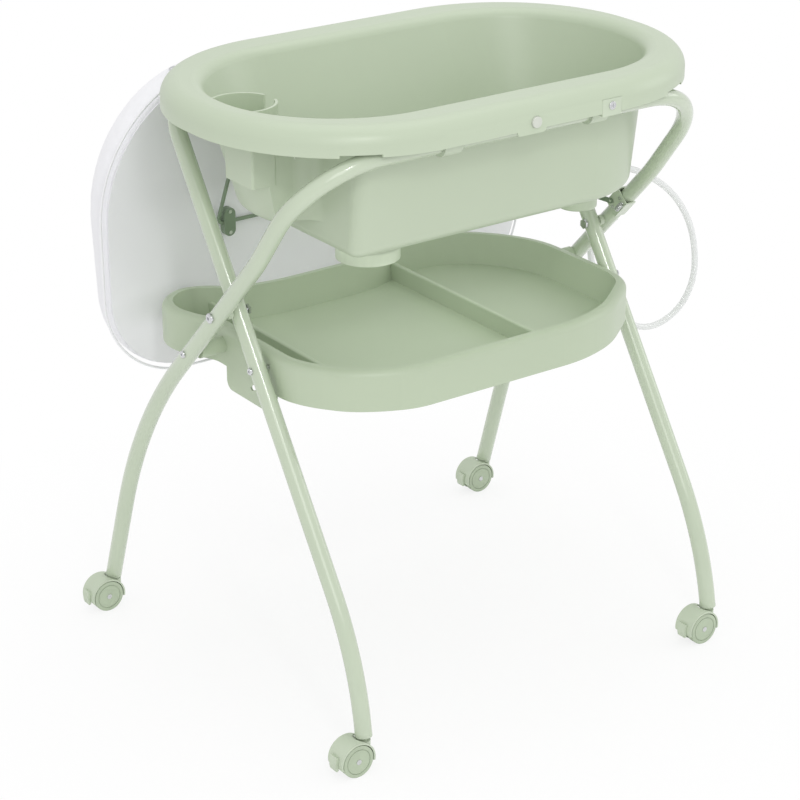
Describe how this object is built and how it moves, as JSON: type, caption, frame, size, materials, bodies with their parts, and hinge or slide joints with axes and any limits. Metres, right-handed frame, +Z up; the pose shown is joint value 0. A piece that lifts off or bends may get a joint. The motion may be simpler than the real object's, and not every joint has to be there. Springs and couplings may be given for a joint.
{
  "type": "baby bath with changing mat",
  "caption": "Baby bath on a folding scissor frame of bent tube with casters, a storage tray below, a hinged padded changing mat and a drain hose.",
  "frame": {"origin": "on the floor, midway between the caster stems", "axes": "+X to the right of the bath seen from its front, -Y to the front, +Z up"},
  "size_m": [1.0546, 0.666, 0.911],
  "materials": {
    "bath_plastic": "glossy moulded",
    "tray_plastic": "satin moulded",
    "frame_paint": "gloss paint",
    "fitting_plastic": "satin moulded",
    "wheel_plastic": "matt moulded",
    "chrome": "polished",
    "dark_green_rod": "gloss paint",
    "mat_cover": "wipe-clean coated fabric",
    "mat_backing": "matt",
    "hose_plastic": "translucent",
    "button_plastic": "satin"
  },
  "bodies": {
    "outer_frame": {"outer_frame_tube": "frame_paint", "outer_leg_plugs": "fitting_plastic", "pivot_bolts": "chrome", "pivot_nuts": "chrome", "pivot_spacers": "fitting_plastic", "tray_bolts_outer": "chrome", "latch_bracket": "frame_paint", "latch_spring": "chrome", "latch_rivets": "chrome"},
    "inner_frame": {"inner_frame_bar": "frame_paint", "inner_leg_left": "frame_paint", "inner_leg_right": "frame_paint", "leg_spigots": "chrome", "inner_leg_plugs": "fitting_plastic", "tray_bolts_inner": "chrome", "tray_nuts": "chrome"},
    "bath": {"tub_shell": "bath_plastic", "drain_cup": "bath_plastic", "tub_hinge_clips": "fitting_plastic", "hinge_screw": "chrome", "bail_brackets": "fitting_plastic", "drain_hose": "hose_plastic", "hose_clip": "fitting_plastic"},
    "button": {"front_button": "button_plastic"},
    "plug": {"drain_plug": "fitting_plastic"},
    "bail": {"mat_bail": "dark_green_rod"},
    "mat": {"mat_pad": "mat_cover", "mat_board": "mat_backing", "mat_clamps": "dark_green_rod", "clamp_screws": "chrome", "mat_eyelets": "chrome"},
    "tray": {"tray_shell": "tray_plastic"},
    "latch": {"latch_arm": "dark_green_rod"},
    "caster_front_left": {"caster_hood_front_left": "fitting_plastic"},
    "wheels_front_left": {"caster_wheels_front_left": "wheel_plastic", "caster_axle_front_left": "chrome"},
    "brake_front_left": {"caster_brake_front_left": "fitting_plastic"},
    "caster_front_right": {"caster_hood_front_right": "fitting_plastic"},
    "wheels_front_right": {"caster_wheels_front_right": "wheel_plastic", "caster_axle_front_right": "chrome"},
    "brake_front_right": {"caster_brake_front_right": "fitting_plastic"},
    "caster_rear_left": {"caster_hood_rear_left": "fitting_plastic"},
    "wheels_rear_left": {"caster_wheels_rear_left": "wheel_plastic", "caster_axle_rear_left": "chrome"},
    "brake_rear_left": {"caster_brake_rear_left": "fitting_plastic"},
    "caster_rear_right": {"caster_hood_rear_right": "fitting_plastic"},
    "wheels_rear_right": {"caster_wheels_rear_right": "wheel_plastic", "caster_axle_rear_right": "chrome"},
    "brake_rear_right": {"caster_brake_rear_right": "fitting_plastic"}
  },
  "joints": [
    {"name": "fold", "type": "hinge", "parent": "outer_frame", "child": "inner_frame", "pos_m": [0, -0.00949, 0.59462], "axis": [1, 0, 0], "range_deg": [0, 25]},
    {"name": "bath_turn", "type": "hinge", "parent": "outer_frame", "child": "bath", "pos_m": [0, -0.235, 0.864], "axis": [1, 0, 0], "range_deg": [0, 106.25]},
    {"name": "tray_turn", "type": "hinge", "parent": "outer_frame", "child": "tray", "pos_m": [0, 0.06609, 0.515], "axis": [1, 0, 0], "range_deg": [-24, 0]},
    {"name": "bail_turn", "type": "hinge", "parent": "bath", "child": "bail", "pos_m": [0, 0.247, 0.866], "axis": [1, 0, 0], "range_deg": [0, 257]},
    {"name": "mat_turn", "type": "hinge", "parent": "bail", "child": "mat", "pos_m": [0, 0.249, 0.625], "axis": [1, 0, 0], "range_deg": [-167.1, 0]},
    {"name": "button_push", "type": "slide", "parent": "bath", "child": "button", "axis": [0, 1, 0], "range_m": [0, 0.0025], "stiffness_N_per_m": 200},
    {"name": "plug_lift", "type": "slide", "parent": "bath", "child": "plug", "axis": [0, 0, 1], "range_m": [0, 0.02]},
    {"name": "latch_lift", "type": "hinge", "parent": "outer_frame", "child": "latch", "pos_m": [0.3383, -0.036, 0.634], "axis": [1, 0, 0], "range_deg": [0, 25]},
    {"name": "swivel_front_left", "type": "hinge", "parent": "inner_frame", "child": "caster_front_left", "pos_m": [-0.325, -0.3145, 0.05], "axis": [0, 0, 1], "continuous": true},
    {"name": "roll_front_left", "type": "hinge", "parent": "caster_front_left", "child": "wheels_front_left", "pos_m": [-0.345, -0.3145, 0.025], "axis": [0, 1, 0], "continuous": true},
    {"name": "brake_front_left_lift", "type": "hinge", "parent": "caster_front_left", "child": "brake_front_left", "pos_m": [-0.37189, -0.3145, 0.03586], "axis": [0, 1, 0], "range_deg": [0, 20]},
    {"name": "swivel_front_right", "type": "hinge", "parent": "inner_frame", "child": "caster_front_right", "pos_m": [0.325, -0.3145, 0.05], "axis": [0, 0, 1], "continuous": true},
    {"name": "roll_front_right", "type": "hinge", "parent": "caster_front_right", "child": "wheels_front_right", "pos_m": [0.305, -0.3145, 0.025], "axis": [0, 1, 0], "continuous": true},
    {"name": "brake_front_right_lift", "type": "hinge", "parent": "caster_front_right", "child": "brake_front_right", "pos_m": [0.27811, -0.3145, 0.03586], "axis": [0, 1, 0], "range_deg": [0, 20]},
    {"name": "swivel_rear_left", "type": "hinge", "parent": "outer_frame", "child": "caster_rear_left", "pos_m": [-0.371, 0.3145, 0.05], "axis": [0, 0, 1], "continuous": true},
    {"name": "roll_rear_left", "type": "hinge", "parent": "caster_rear_left", "child": "wheels_rear_left", "pos_m": [-0.391, 0.3145, 0.025], "axis": [0, 1, 0], "continuous": true},
    {"name": "brake_rear_left_lift", "type": "hinge", "parent": "caster_rear_left", "child": "brake_rear_left", "pos_m": [-0.41789, 0.3145, 0.03586], "axis": [0, 1, 0], "range_deg": [0, 20]},
    {"name": "swivel_rear_right", "type": "hinge", "parent": "outer_frame", "child": "caster_rear_right", "pos_m": [0.371, 0.3145, 0.05], "axis": [0, 0, 1], "continuous": true},
    {"name": "roll_rear_right", "type": "hinge", "parent": "caster_rear_right", "child": "wheels_rear_right", "pos_m": [0.351, 0.3145, 0.025], "axis": [0, 1, 0], "continuous": true},
    {"name": "brake_rear_right_lift", "type": "hinge", "parent": "caster_rear_right", "child": "brake_rear_right", "pos_m": [0.32411, 0.3145, 0.03586], "axis": [0, 1, 0], "range_deg": [0, 20]}
  ],
  "couplings": [
    {"joint": "bath_turn", "follows": "fold", "ratio": 4.25},
    {"joint": "tray_turn", "follows": "fold", "ratio": -0.96},
    {"joint": "mat_turn", "follows": "bail_turn", "ratio": -0.65}
  ]
}
